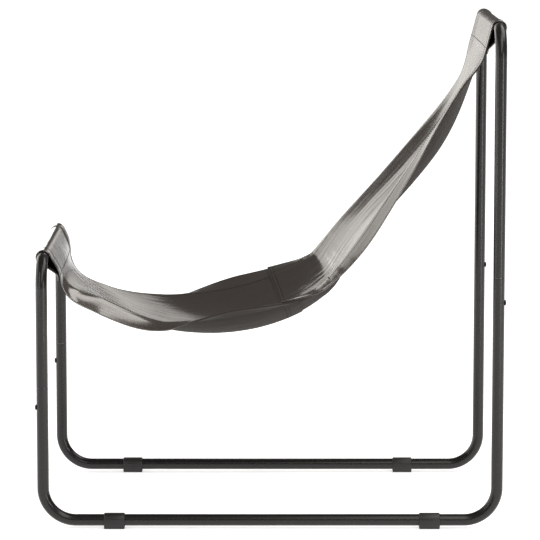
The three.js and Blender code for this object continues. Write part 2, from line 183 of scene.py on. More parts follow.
class SlingSizes(bpy.types.PropertyGroup):
    """Leather of the sling and how it hangs"""

    thickness: FloatProperty(
        name="Leather thickness", description="Thickness of one layer of leather",
        default=0.0018, unit="LENGTH")
    layer: FloatProperty(
        name="Layer step", description="Distance between the middles of two sewn layers",
        default=0.0020, unit="LENGTH")
    hem: FloatProperty(
        name="Hem", description="Hem line, where the hem folds down, to the sling's edge",
        default=0.043, unit="LENGTH")
    hem_row: FloatProperty(
        name="Seat hem row", description="Seat's hem stitching past its hem line",
        default=0.004, unit="LENGTH")
    back_hem_row: FloatProperty(
        name="Back hem row", description="Back's hem stitching past its hem line",
        default=0.018, unit="LENGTH")
    hem_turning: FloatProperty(
        name="Hem turning", description="Leather turned under past the hem line",
        default=0.005, unit="LENGTH")
    seat_run: FloatProperty(
        name="Seat run", description="Front pocket to the lap seam along the line",
        default=0.492, unit="LENGTH")
    lap: FloatProperty(
        name="Lap", description="Overlap of the two panels at the lap seam",
        default=0.036, unit="LENGTH")
    lap_skew: FloatProperty(
        name="Lap skew",
        description="How far the lap seam runs back at the left edge and forward at the right",
        default=0.0125, unit="LENGTH")
    seat_sag: FloatProperty(
        name="Seat sag", description="Middle of the seat below its hem lines",
        default=0.060, unit="LENGTH")
    back_sag: FloatProperty(
        name="Back sag", description="Middle of the back behind its hem lines",
        default=0.044, unit="LENGTH")
    front_droop: FloatProperty(
        name="Front droop", description="Hem lines below the sling's line behind the front bar",
        default=0.0085, unit="LENGTH")
    front_fold: FloatProperty(
        name="Front hem fold", description="How far the hems turn down behind the front bar",
        default=math.radians(82), subtype="ANGLE")
    back_fold: FloatProperty(
        name="Back hem fold", description="How far the hems turn down at the foot of the back",
        default=math.radians(61), subtype="ANGLE")
    front_twist: FloatProperty(
        name="Front twist", description="Left hem line above the sling's line near the front",
        default=0.0155, unit="LENGTH")
    middle_twist: FloatProperty(
        name="Middle twist", description="Left hem line above the sling's line at the lap",
        default=-0.0114, unit="LENGTH")
    back_twist: FloatProperty(
        name="Back twist", description="Left hem line above the sling's line near the rear bar",
        default=0.0113, unit="LENGTH")
    long_folds: FloatProperty(
        name="Long folds", description="Height of the soft folds that run along the sling",
        default=0.0011, unit="LENGTH")
    streaks: FloatProperty(
        name="Streaks", description="Height of the fine stretch lines along the sling",
        default=0.00034, unit="LENGTH")
    bend_creases: FloatProperty(
        name="Bend creases", description="Height of the creases where seat turns into back",
        default=0.0009, unit="LENGTH")
    colour: FloatVectorProperty(
        name="Leather", description="Darker colour of the leather's grain side",
        default=(0.042, 0.032, 0.0256), subtype="COLOR")
    worn_colour: FloatVectorProperty(
        name="Pulled leather", description="Lighter colour where the leather is stretched",
        default=(0.062, 0.052, 0.0445), subtype="COLOR")
    flesh_colour: FloatVectorProperty(
        name="Flesh side", description="Colour of the leather's underside",
        default=(0.016, 0.0125, 0.011), subtype="COLOR")


class StitchSizes(bpy.types.PropertyGroup):
    """Sewing thread"""

    pitch: FloatProperty(
        name="Stitch pitch", description="Needle hole to needle hole",
        default=0.0055, unit="LENGTH")
    length: FloatProperty(
        name="Stitch length", description="Thread that shows between two holes",
        default=0.0048, unit="LENGTH")
    width: FloatProperty(
        name="Thread", description="Width of the thread",
        default=0.0015, unit="LENGTH")
    row_gap: FloatProperty(
        name="Row gap", description="Distance between the rows of a double seam",
        default=0.008, unit="LENGTH")
    edge_gap: FloatProperty(
        name="Edge gap", description="First row of a seam from the leather's edge",
        default=0.004, unit="LENGTH")
    tack_run: FloatProperty(
        name="Tack run", description="Front pocket to the bar tack that ends the hems' double row",
        default=0.612, unit="LENGTH")
    tack_length: FloatProperty(
        name="Tack length", description="Length of the bar tack across the hem row",
        default=0.015, unit="LENGTH")
    groove: FloatProperty(
        name="Groove", description="How deep the thread pulls the leather in",
        default=0.0003, unit="LENGTH")
    colour: FloatVectorProperty(
        name="Thread colour", description="Colour of the thread",
        default=(0.010, 0.0085, 0.0075), subtype="COLOR")


class StudioSettings(bpy.types.PropertyGroup):
    """Camera, lights and floor"""

    lens: FloatProperty(
        name="Lens", description="Focal length of the camera", default=203.4, unit="CAMERA")
    camera_distance: FloatProperty(
        name="Camera distance", description="Camera from the chair's middle, to its left",
        default=6.698, unit="LENGTH")
    camera_height: FloatProperty(
        name="Camera height", description="Camera above the floor", default=1.4435, unit="LENGTH")
    camera_fall: FloatProperty(
        name="Camera fall", description="How far the camera looks down",
        default=math.radians(7.88), subtype="ANGLE")
    floor_size: FloatProperty(
        name="Floor", description="Width of the floor", default=46.5, unit="LENGTH")
    floor_colour: FloatVectorProperty(
        name="Floor colour", description="Colour of the pale floor",
        default=(0.93, 0.93, 0.93), subtype="COLOR")
    room_light: FloatProperty(
        name="Room light", description="Brightness of the plain surroundings", default=0.11)


class SlingChairSettings(bpy.types.PropertyGroup):
    """All settings of the chair"""

    tubes: PointerProperty(type=TubeFrameSizes)
    fittings: PointerProperty(type=FittingSizes)
    sling: PointerProperty(type=SlingSizes)
    stitches: PointerProperty(type=StitchSizes)
    studio: PointerProperty(type=StudioSettings)


# Pieces

def mark_sharp_edges(bm, angle=SHARP_ANGLE):
    for face in bm.faces:
        face.smooth = True
    for edge in bm.edges:
        edge.smooth = edge.calc_face_angle(0.0) < angle


def add_piece(name, bm, materials, replaced=()):
    """Makes a piece of the chair from a bmesh, at the origin and riding on the frame"""
    mesh = bpy.data.meshes.new(name)
    bm.to_mesh(mesh)
    bm.free()
    for material in materials:
        mesh.materials.append(material)
    piece = bpy.data.objects.new(name, mesh)
    bpy.context.scene.collection.objects.link(piece)
    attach(piece, BODY)
    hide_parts(*replaced)
    return piece


def only_edges(geometry):
    return [item for item in geometry if isinstance(item, bmesh.types.BMEdge)]


def only_verts(geometry):
    return [item for item in geometry if isinstance(item, bmesh.types.BMVert)]


def facing(direction):
    """Turns +Z to a direction"""
    return direction.to_track_quat("Z", "Y").to_matrix().to_4x4()


# Material nodes

def add_node(tree, kind, inputs=None, **settings):
    """Adds a node; an input is linked where its value is another node's output"""
    node = tree.nodes.new(kind)
    for name, value in settings.items():
        setattr(node, name, value)
    for name, value in (inputs or {}).items():
        if isinstance(value, bpy.types.NodeSocket):
            tree.links.new(value, node.inputs[name])
        else:
            node.inputs[name].default_value = value
    return node


def shader_material(name, **values):
    """A material with a Principled shader whose plain sockets are set by name"""
    material = bpy.data.materials.new(name)
    material.use_nodes = True
    shader = material.node_tree.nodes["Principled BSDF"]
    for key, value in values.items():
        shader.inputs[key.replace("_", " ")].default_value = value
    return material, material.node_tree, shader


def opaque(colour):
    return (*colour, 1.0)


def shade(colour, factor):
    return tuple(factor * part for part in colour)


def object_noise(tree, scale, detail=2.0, stretch=(1, 1, 1)):
    """Noise on the piece's own coordinates"""
    place = add_node(tree, "ShaderNodeTexCoord")
    spread = add_node(tree, "ShaderNodeMapping", {"Vector": place.outputs["Object"], "Scale": stretch})
    return add_node(tree, "ShaderNodeTexNoise", {
        "Vector": spread.outputs["Vector"], "Scale": scale, "Detail": detail}).outputs["Fac"]


def sheet_noise(tree, across, along, detail=3.0, roughness=0.55):
    """Noise laid on the leather, its patches so wide across and so long along the sheet"""
    place = add_node(tree, "ShaderNodeTexCoord")
    spread = add_node(tree, "ShaderNodeMapping", {
        "Vector": place.outputs["UV"], "Scale": (1 / across, 1 / along, 1)})
    return add_node(tree, "ShaderNodeTexNoise", {
        "Vector": spread.outputs["Vector"], "Scale": 1.0, "Detail": detail,
        "Roughness": roughness}).outputs["Fac"]


NOISE_LOW, NOISE_HIGH = 0.3, 0.7  # most of a noise lies between these


def between(tree, factor, low, high):
    """A number that goes from low to high with a noise"""
    return add_node(tree, "ShaderNodeMapRange", {
        "Value": factor, "From Min": NOISE_LOW, "From Max": NOISE_HIGH,
        "To Min": low, "To Max": high}).outputs["Result"]


# Sockets of a Mix node that mixes colours
MIX_FACTOR, MIX_FIRST, MIX_SECOND, MIX_RESULT = 0, 6, 7, 2


def blend_colour(tree, factor, first, second):
    mix = add_node(tree, "ShaderNodeMix", data_type="RGBA")
    tree.links.new(factor, mix.inputs[MIX_FACTOR])
    mix.inputs[MIX_FIRST].default_value = opaque(first)
    mix.inputs[MIX_SECOND].default_value = opaque(second)
    return mix.outputs[MIX_RESULT]


def add_bump(tree, height, distance, under=None):
    inputs = {"Height": height, "Distance": distance, "Strength": 1.0}
    if under:
        inputs["Normal"] = under
    return add_node(tree, "ShaderNodeBump", inputs).outputs["Normal"]


def set_finish(tree, shader, colour, roughness, normal=None):
    """Links what varies over a surface to its shader"""
    for name, output in (("Base Color", colour), ("Roughness", roughness), ("Normal", normal)):
        if output:
            tree.links.new(output, shader.inputs[name])


def powder_coat(colour):
    material, tree, shader = shader_material("powder_coat", Specular_IOR_Level=0.4)
    patches = object_noise(tree, scale=90.0, detail=3.0)
    peel = object_noise(tree, scale=900.0, detail=1.5)
    set_finish(
        tree, shader,
        blend_colour(tree, patches, colour, shade(colour, 1.15)),
        between(tree, patches, 0.22, 0.26),
        add_bump(tree, peel, distance=0.00001))
    return material


def black_oxide():
    material, tree, shader = shader_material("black_oxide", Metallic=0.7)
    patches = object_noise(tree, scale=500.0, detail=3.0)
    set_finish(
        tree, shader,
        blend_colour(tree, patches, (0.02, 0.02, 0.021), (0.05, 0.05, 0.052)),
        between(tree, patches, 0.28, 0.42))
    return material


def bare_steel():
    material, tree, shader = shader_material("bare_steel", Metallic=1.0)
    drawn = object_noise(tree, scale=400.0, detail=4.0, stretch=(1, 1, 0.05))
    set_finish(
        tree, shader,
        blend_colour(tree, drawn, (0.36, 0.37, 0.39), (0.52, 0.53, 0.55)),
        between(tree, drawn, 0.32, 0.5),
        add_bump(tree, drawn, distance=0.00005))
    return material


def glide_plastic():
    material, tree, shader = shader_material("glide_plastic", Specular_IOR_Level=0.45)
    spark = object_noise(tree, scale=1600.0)
    scuffs = object_noise(tree, scale=120.0, detail=4.0, stretch=(1, 0.3, 1))
    set_finish(
        tree, shader,
        blend_colour(tree, scuffs, (0.011, 0.011, 0.0115), (0.021, 0.021, 0.021)),
        between(tree, scuffs, 0.36, 0.52),
        add_bump(tree, spark, distance=0.00005))
    return material


def grain_leather(sling):
    """Waxed grain side: pebble grain, stretch lines along the sling and polished patches"""
    material, tree, shader = shader_material("grain_leather", IOR=2.26)
    patches = sheet_noise(tree, across=0.050, along=0.16)
    streaks = sheet_noise(tree, across=0.0045, along=0.10, detail=4.0, roughness=0.62)
    pebbles = sheet_noise(tree, across=0.0013, along=0.0017, detail=2.0)
    grain = add_bump(tree, pebbles, distance=0.00003)
    set_finish(
        tree, shader,
        blend_colour(tree, patches, sling.colour, sling.worn_colour),
        between(tree, streaks, 0.12, 0.26),
        add_bump(tree, streaks, distance=0.00018, under=grain))
    return material


def flesh_leather(sling):
    """Brushed flesh side: matt and fibrous"""
    material, tree, shader = shader_material("flesh_leather", Specular_IOR_Level=0.2, Sheen_Weight=0.03)
    fibres = sheet_noise(tree, across=0.0009, along=0.004, detail=4.0, roughness=0.65)
    patches = sheet_noise(tree, across=0.060, along=0.10)
    set_finish(
        tree, shader,
        blend_colour(tree, patches, sling.flesh_colour, shade(sling.flesh_colour, 1.6)),
        between(tree, fibres, 0.78, 0.95),
        add_bump(tree, fibres, distance=0.00025))
    return material


def cut_edge(sling):
    """Burnished edge of the leather"""
    material, tree, shader = shader_material("cut_edge", Specular_IOR_Level=0.35)
    fibres = object_noise(tree, scale=700.0, detail=3.0)
    set_finish(
        tree, shader,
        blend_colour(tree, fibres, shade(sling.flesh_colour, 0.6), sling.flesh_colour),
        between(tree, fibres, 0.5, 0.75))
    return material


def waxed_thread(colour):
    material, tree, shader = shader_material("waxed_thread", Specular_IOR_Level=0.2)
    twist = object_noise(tree, scale=1500.0)
    set_finish(
        tree, shader,
        blend_colour(tree, twist, colour, shade(colour, 1.5)),
        between(tree, twist, 0.55, 0.75))
    return material


# Tube frame

CHAMFER_STEPS = 2


def extrude_by(bm, edges, step):
    """Draws edge loops on by a step and returns the new loops"""
    grown = bmesh.ops.extrude_edge_only(bm, edges=edges)["geom"]
    bmesh.ops.translate(bm, verts=only_verts(grown), vec=step)
    return only_edges(grown)


def bent_tube(corners, bend, tubes):
    """A tube drawn through four corner points: straight runs extruded, bends spun"""
    bm = bmesh.new()
    place = corners[0].copy()
    heading = (corners[1] - place).normalized()
    section = Matrix.Translation(place) @ facing(heading)
    for radius in (TUBE_RADIUS, TUBE_RADIUS - tubes.wall):
        bmesh.ops.create_circle(bm, segments=tubes.sides, radius=radius, matrix=section)
    start = bm.edges[:]
    edges = start
    for corner, after in zip(corners[1:], corners[2:]):
        onward = (after - corner).normalized()
        bend_start = corner - heading * bend
        edges = extrude_by(bm, edges, bend_start - place)
        spun = bmesh.ops.spin(
            bm, geom=edges, cent=bend_start + onward * bend, axis=heading.cross(onward),
            angle=QUARTER_TURN, steps=tubes.bend_steps)
        edges = only_edges(spun["geom_last"])
        place = corner + onward * bend
        heading = onward
    end = extrude_by(bm, edges, corners[-1] - place)
    for loops in (start, end):
        bmesh.ops.bridge_loops(bm, edges=loops)
    bmesh.ops.recalc_face_normals(bm, faces=bm.faces[:])
    bmesh.ops.bevel(
        bm, geom=start + end, offset=tubes.end_chamfer, segments=CHAMFER_STEPS, profile=0.5,
        affect="EDGES", material=-1)
    mark_sharp_edges(bm, TUBE_SHARP_ANGLE)
    return bm


class SLINGCHAIR_OT_tube_frame(bpy.types.Operator):
    """Draws the two hoops and the two side rails as round tubes"""

    bl_idname = "sling_chair.tube_frame"
    bl_label = "Tube frame"

    def execute(self, context):
        tubes = context.scene.sling_chair.tubes
        coat = powder_coat(tubes.colour)
        hoops = (("front_hoop", FRONT_BAR, FRONT_HOOP_LOW.z), ("rear_hoop", REAR_BAR, REAR_HOOP_LOW.z))
        for name, bar, foot in hoops:
            corners = [
                Vector((side * HALF_WIDTH, bar.y, height))
                for side, height in ((1, foot), (1, bar.z), (-1, bar.z), (-1, foot))
            ]
            bm = bent_tube(corners, tubes.hoop_bend, tubes)
            add_piece(f"{name}_tube", bm, [coat], [name])
        front_top = FRONT_HOOP_LOW.z - SEAM_GAP
        rail_line = ((-1, front_top), (-1, RAIL_HEIGHT), (1, RAIL_HEIGHT), (1, RAIL_HIGH.z))
        for name, side in (("left_side_rail", 1), ("right_side_rail", -1)):
            corners = [
                Vector((side * HALF_WIDTH, along * HALF_DEPTH, height))
                for along, height in rail_line
            ]
            bm = bent_tube(corners, tubes.rail_bend, tubes)
            add_piece(f"{name}_tube", bm, [coat], [name])
        return {"FINISHED"}


# Fittings

BOLT_SIDES = 24
HEX_SIDES = 6
DOME_STEPS = 6
SOCKET_RIM = 1.18  # of the socket's corner radius, where the dome ends
MERGE_DISTANCE = 1e-6
CUT_TOLERANCE = 1e-7
SQUARE_ON = 0.99  # cosine of the most that an end face leans
CROWN_SHARE = 0.995  # of half a glide's width, so its round crown keeps a narrow flat
CROWN_STEPS = 12
CORNER_STEPS = 5
BEVEL_STEPS = 3
BORE_SIDES = 32


def button_bolt(node, fittings):
    """A button-head bolt spun round its axis, with a hex socket sunk into the dome"""
    low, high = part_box(node)
    outward = 1 if low.y > 0 else -1
    head_radius = (high.x - low.x) / 2
    length = high.y - low.y
    rim = length - fittings.head_height + fittings.head_rim
    corner = fittings.socket_across_flats / math.sqrt(3)
    crown = length - rim
    last_angle = math.acos(SOCKET_RIM * corner / head_radius)
    shank_radius = fittings.shank_diameter / 2
    under_head = rim - fittings.head_rim
    profile = [(0.0, 0.0), (shank_radius, 0.0), (shank_radius, under_head), (head_radius, under_head)]
    for step in range(DOME_STEPS + 1):
        angle = last_angle * step / DOME_STEPS
        profile.append((head_radius * math.cos(angle), rim + crown * math.sin(angle)))

    bm = bmesh.new()
    verts = [bm.verts.new((across, 0, height)) for across, height in profile]
    edges = [bm.edges.new(pair) for pair in zip(verts, verts[1:])]
    bmesh.ops.spin(
        bm, geom=verts + edges, cent=(0, 0, 0), axis=(0, 0, 1), angle=2 * math.pi,
        steps=BOLT_SIDES, use_merge=True)
    bmesh.ops.remove_doubles(bm, verts=bm.verts[:], dist=MERGE_DISTANCE)
    mouth = [edge for edge in bm.edges if edge.is_boundary]
    top = max(vert.co.z for edge in mouth for vert in edge.verts)
    hexagon = bmesh.ops.create_circle(
        bm, segments=HEX_SIDES, radius=corner, matrix=Matrix.Translation((0, 0, top)))
    hex_edges = list({edge for vert in hexagon["verts"] for edge in vert.link_edges})
    cuts = BOLT_SIDES // HEX_SIDES - 1
    bmesh.ops.subdivide_edges(bm, edges=hex_edges, cuts=cuts)
    socket = [edge for edge in bm.edges if edge.is_wire]
    bmesh.ops.bridge_loops(bm, edges=mouth + socket)
    floor = extrude_by(bm, socket, Vector((0, 0, -fittings.socket_depth)))
    bmesh.ops.edgeloop_fill(bm, edges=floor)
    bmesh.ops.recalc_face_normals(bm, faces=bm.faces[:])

    tip = low.y if outward > 0 else high.y
    place = Matrix.Translation(((low.x + high.x) / 2, tip, (low.z + high.z) / 2))
    bmesh.ops.transform(bm, matrix=place @ facing(Vector((0, outward, 0))), verts=bm.verts[:])
    mark_sharp_edges(bm)
    return bm


def end_faces(bm, sign):
    """Faces square to the rail, at a glide's rear end or, with a sign of -1, at its front end"""
    return [face for face in bm.faces if sign * face.normal.y > SQUARE_ON]


def foot_glide(node, fittings):
    """A moulded sleeve with a flat foot: a block with rounded edges, bored for the rail"""
    low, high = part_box(node)
    middle = (low + high) / 2
    size = high - low
    bm = bmesh.new()
    bmesh.ops.create_cube(bm, size=1.0, matrix=Matrix.Translation(middle) @ Matrix.Diagonal((*size, 1)))
    bm.normal_update()

    def long_edges(upper):
        return [
            edge for edge in bm.edges
            if abs(edge.verts[0].co.y - edge.verts[1].co.y) > size.y / 2
            and (edge.verts[0].co.z > middle.z) == upper
        ]

    crown_radius = size.x / 2 * CROWN_SHARE
    for edges, radius, steps in (
            (long_edges(True), crown_radius, CROWN_STEPS),
            (long_edges(False), fittings.glide_corner, CORNER_STEPS)):
        bmesh.ops.bevel(
            bm, geom=edges, offset=radius, segments=steps, profile=0.5, affect="EDGES", material=-1)
    ends = [face for sign in SIDES for face in end_faces(bm, sign)]
    rims = list({edge for face in ends for edge in face.edges})
    bmesh.ops.bevel(
        bm, geom=rims, offset=fittings.glide_bevel, segments=BEVEL_STEPS, profile=0.5,
        affect="EDGES", material=-1)

    bore = TUBE_RADIUS + fittings.glide_bore_clearance
    bore_edges = []
    bm.normal_update()
    for sign in SIDES:
        end = max(end_faces(bm, sign), key=lambda face: face.calc_area())
        outline = list(end.edges)
        bmesh.ops.delete(bm, geom=[end], context="FACES_ONLY")
        end_middle = (middle.x, middle.y + sign * size.y / 2, RAIL_HEIGHT)
        mouth = Matrix.Translation(end_middle) @ facing(Vector((0, 1, 0)))
        ring = bmesh.ops.create_circle(bm, segments=BORE_SIDES, radius=bore, matrix=mouth)["verts"]
        ring_edges = list({edge for vert in ring for edge in vert.link_edges})
        bmesh.ops.triangle_fill(bm, use_beauty=True, use_dissolve=False, edges=outline + ring_edges)
        bore_edges += ring_edges
    bmesh.ops.bridge_loops(bm, edges=bore_edges)

    ridge = fittings.parting_ridge
    for lift in (-ridge, 0, ridge):
        bmesh.ops.bisect_plane(
            bm, geom=bm.verts[:] + bm.edges[:] + bm.faces[:], dist=CUT_TOLERANCE,
            plane_co=(0, 0, fittings.parting_height + lift), plane_no=(0, 0, 1))
    for vert in bm.verts:
        from_bore = math.hypot(vert.co.x - middle.x, vert.co.z - RAIL_HEIGHT) - bore
        on_line = abs(vert.co.z - fittings.parting_height) < ridge / 4
        if on_line and from_bore > fittings.glide_bore_clearance:
            outward = Vector(((vert.co.x - middle.x) / size.x, (vert.co.y - middle.y) / size.y, 0))
            vert.co += 2 * ridge * outward
    bmesh.ops.recalc_face_normals(bm, faces=bm.faces[:])
    mark_sharp_edges(bm)
    return bm


class SLINGCHAIR_OT_bolts(bpy.types.Operator):
    """Makes the four button-head bolts of the knock-down joints"""

    bl_idname = "sling_chair.bolts"
    bl_label = "Bolts"

    def execute(self, context):
        fittings = context.scene.sling_chair.fittings
        finish = black_oxide()
        for end, side in CORNERS:
            node = f"{end}_{side}_bolt"
            bm = button_bolt(node, fittings)
            add_piece(f"{end}_{side}_button_bolt", bm, [finish], [node])
        return {"FINISHED"}


class SLINGCHAIR_OT_glides(bpy.types.Operator):
    """Moulds the four glides that the rails stand on"""

    bl_idname = "sling_chair.glides"
    bl_label = "Foot glides"

    def execute(self, context):
        fittings = context.scene.sling_chair.fittings
        plastic = glide_plastic()
        for end, side in CORNERS:
            node = f"{end}_{side}_glide"
            bm = foot_glide(node, fittings)
            add_piece(f"{end}_{side}_foot_glide", bm, [plastic], [node])
        return {"FINISHED"}


class SLINGCHAIR_OT_hidden_fittings(bpy.types.Operator):
    """Gives the spigots and nuts inside the joints their bare steel"""

    bl_idname = "sling_chair.hidden_fittings"
    bl_label = "Hidden fittings"

    def execute(self, context):
        steel = bare_steel()
        for end, side in CORNERS:
            for fitting in ("spigot", "nut"):
                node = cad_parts[f"{end}_{side}_{fitting}"]
                node.data.materials.clear()
                node.data.materials.append(steel)
        return {"FINISHED"}


# Sling

Station = namedtuple("Station", "place up share")
Hang = namedtuple("Hang", "sag droop fold twist")

# Reach of the lap's skew, of the pockets and of the lap along the sling, and of a doubled hem's step
LAP_SKEW_REACH = 0.15
POCKET_FADE = 0.05
LAP_FADE = 0.06
HEM_STEP = 0.004

# Patterns of the leather's folds, stretch lines and creases; each has its own slice of the noise
FOLD_FADE = 0.05
FOLD_WIDTH = 0.034
FOLD_LENGTH = 0.30
FOLD_SLICE = 0.0
HEM_FOLDS = 0.25  # of the long folds' height, left over the hems
STREAK_WIDTH = 0.009
STREAK_LENGTH = 0.16
STREAK_SLICE = 3.0
STREAK_FALL, STREAK_SPREAD, STREAK_LEVELS = 0.7, 2.0, 3  # of the fractal noise's levels
KINK_RUN = 0.60  # front pocket to the bend between seat and back
KINK_STREAKS = 3.0  # how much more the stretch lines show there
CREASE_REACH = 0.06
CREASE_LENGTH = 0.09
CREASE_WIDTH = 0.017
CREASE_SLICE = 7.0
GROOVE_REACH = 0.0020


def smooth_step(value, low, high):
    share = min(max((value - low) / (high - low), 0.0), 1.0)
    return share * share * (3 - 2 * share)


def hump(place, span):
    """Rises from 0 at the span's start to 1 at its peak and back to 0 at its end"""
    if place < span.peak:
        offset = (span.peak - place) / (span.peak - span.start)
    else:
        offset = (place - span.peak) / (span.end - span.peak)
    return math.cos(min(offset, 1.0) * QUARTER_TURN) ** 2


def heading_at(pitch):
    return Vector((0, math.cos(pitch), math.sin(pitch)))


def pocket_stations(bar, inward, pitch, lift):
    """Stations from a pocket's flap round its crossbar to the open sling, for a sheet `lift` outside them"""
    along = Vector((0, inward * math.cos(pitch), -math.sin(pitch)))
    up = Vector((0, inward * math.sin(pitch), math.cos(pitch)))
    radius = SHEET_RADIUS - lift
    reach = POCKET_DEPTH + POCKET_ALLOWANCE
    flap_level = SHEET_RADIUS - LAYER_STEP + lift
    leave = math.atan2(flap_level, POCKET_DEPTH) - math.acos(radius / math.hypot(POCKET_DEPTH, flap_level))
    touch = Vector((radius * math.cos(leave), radius * math.sin(leave)))
    flap_end = Vector((reach, flap_level))
    seam = Vector((POCKET_DEPTH, flap_level))
    outline = [flap_end.lerp(seam, step / ALLOWANCE_STEPS) for step in range(ALLOWANCE_STEPS)]
    outline += [seam.lerp(touch, step / FLAP_STEPS) for step in range(FLAP_STEPS)]
    sweep = leave + 3 * QUARTER_TURN
    for step in range(POCKET_ARC_STEPS + 1):
        angle = leave - sweep * step / POCKET_ARC_STEPS
        outline.append(Vector((radius * math.cos(angle), radius * math.sin(angle))))
    outline += [Vector((reach * step / FLAP_STEPS, radius)) for step in range(1, FLAP_STEPS + 1)]
    end_share = 0 if inward > 0 else 1
    stations = []
    for point in outline:
        share = end_share - inward * (reach - point.x) / SLING_REACH
        stations.append(Station(bar + along * point.x + up * point.y, up, share))
    return stations


def line_stations(start, finish):
    """Stations along the open sling: down behind the front bar, along the seat and up the back"""
    handles = [
        (start, start + heading_at(-FRONT_PITCH) * FRONT_FALL,
         SEAT_LOW - heading_at(0) * SEAT_LEAD_IN, SEAT_LOW),
        (SEAT_LOW, SEAT_LOW + heading_at(0) * SEAT_LEAD_ON,
         KINK - heading_at(SEAT_END_PITCH) * SEAT_RUN_OUT, KINK),
        (KINK, KINK + heading_at(BACK_START_PITCH) * REST_LEAD_IN,
         finish - heading_at(REAR_PITCH) * REST_RUN_OUT, finish),
    ]
    points = [start]
    for knots in handles:
        points += interpolate_bezier(*knots, LINE_STEPS)[1:]
    runs = [0.0]
    for before, after in zip(points, points[1:]):
        runs.append(runs[-1] + (after - before).length)
    count = round(runs[-1] / ROW_STEP)
    stations = []
    for step in range(1, count):
        run = runs[-1] * step / count
        index = min(bisect.bisect_right(runs, run), len(runs) - 1)
        before, after = points[index - 1], points[index]
        heading = (after - before).normalized()
        place = before + heading * (run - runs[index - 1])
        stations.append(Station(place, Vector((0, -heading.z, heading.y)), step / count))
    return stations


class SlingSurface:
    """The sling as it hangs, close to the middle of its solids, as a fine grid of points and normals

    A place on it is a run along the sling, from the front pocket's opening, and a flat distance across it.
    """

    def __init__(self, sling):
        self.sling = sling
        self.edge = SEAT_HIGH.x
        self.hem_line = self.edge - sling.hem
        front = pocket_stations(FRONT_BAR, 1, FRONT_PITCH, 0.0)
        rear = pocket_stations(REAR_BAR, -1, REAR_PITCH, LAYER_STEP)[::-1]
        line = line_stations(front[-1].place, rear[0].place)
        stations = front + line + rear
        self.columns = self.place_columns()
        self.runs = [0.0]
        for before, after in zip(stations, stations[1:]):
            self.runs.append(self.runs[-1] + (after.place - before.place).length)
        front_run = self.runs[len(front) - 1]
        self.runs = [run - front_run for run in self.runs]
        self.line_length = self.runs[-len(rear)]
        self.points = [self.section(station) for station in stations]
        self.normals = self.find_normals()

    def place_columns(self):
        """Flat distances across the sling, closer together at the hem lines"""
        half = [COLUMN_STEP * step for step in range(1, round(self.edge / COLUMN_STEP))]
        half = [
            place for place in half
            if abs(place - self.hem_line) > FINE_REACH and place < self.edge - FINE_STEP
        ]
        fine_count = round(FINE_REACH / FINE_STEP)
        half += [self.hem_line + FINE_STEP * step for step in range(-fine_count, fine_count + 1)]
        half += [self.edge - FINE_STEP, self.edge]
        half.sort()
        return [-place for place in reversed(half)] + [0.0] + half

    def hang(self, share):
        sling = self.sling
        return Hang(
            sling.seat_sag * hump(share, SEAT_SAG_SPAN) + sling.back_sag * hump(share, BACK_SAG_SPAN),
            sling.front_droop * hump(share, FRONT_DROOP_SPAN),
            sling.front_fold * hump(share, FRONT_FOLD_SPAN) + sling.back_fold * hump(share, BACK_FOLD_SPAN),
            sling.front_twist * hump(share, FRONT_TWIST_SPAN)
            + sling.middle_twist * hump(share, MIDDLE_TWIST_SPAN)
            + sling.back_twist * hump(share, BACK_TWIST_SPAN))

    def half_section(self, hang, side):
        """Places across and above the line, from the middle out; the leather keeps its width"""
        places = []
        across, rise, reached = 0.0, -hang.sag, 0.0
        bowl = hang.sag - hang.droop
        slope = math.atan2(2 * bowl + side * hang.twist, self.hem_line)
        for distance in (column for column in self.columns if column > 0):
            leather = distance - reached
            if distance <= self.hem_line:
                share = distance / self.hem_line
                next_rise = bowl * share ** 2 - hang.sag + side * hang.twist * share
                across += math.sqrt(leather ** 2 - (next_rise - rise) ** 2)
                rise = next_rise
            else:
                middle = (distance + reached) / 2 - self.hem_line
                turn = smooth_step(middle, 0.0, HEM_TURN_SHARE * self.sling.hem)
                across += leather * math.cos(slope - turn * hang.fold)
                rise += leather * math.sin(slope - turn * hang.fold)
            reached = distance
            places.append((side * across, rise))
        return places

    def section(self, station):
        hang = self.hang(station.share)
        places = self.half_section(hang, -1)[::-1] + [(0.0, -hang.sag)] + self.half_section(hang, 1)
        return [station.place + station.up * rise + Vector((across, 0, 0)) for across, rise in places]

    def find_normals(self):
        rows, columns = len(self.points), len(self.columns)
        normals = []
        for row in range(rows):
            before, after = self.points[max(row - 1, 0)], self.points[min(row + 1, rows - 1)]
            here = self.points[row]
            normals.append([
                (here[min(column + 1, columns - 1)] - here[max(column - 1, 0)])
                .cross(after[column] - before[column]).normalized()
                for column in range(columns)
            ])
        return normals

    def at(self, run, across):
        """Point and normal at a place"""
        row = min(max(bisect.bisect_right(self.runs, run) - 1, 0), len(self.runs) - 2)
        column = min(max(bisect.bisect_right(self.columns, across) - 1, 0), len(self.columns) - 2)
        down = (run - self.runs[row]) / (self.runs[row + 1] - self.runs[row])
        over = (across - self.columns[column]) / (self.columns[column + 1] - self.columns[column])

        def mixed(grid):
            first = grid[row][column].lerp(grid[row][column + 1], over)
            second = grid[row + 1][column].lerp(grid[row + 1][column + 1], over)
            return first.lerp(second, down)

        return mixed(self.points), mixed(self.normals).normalized()


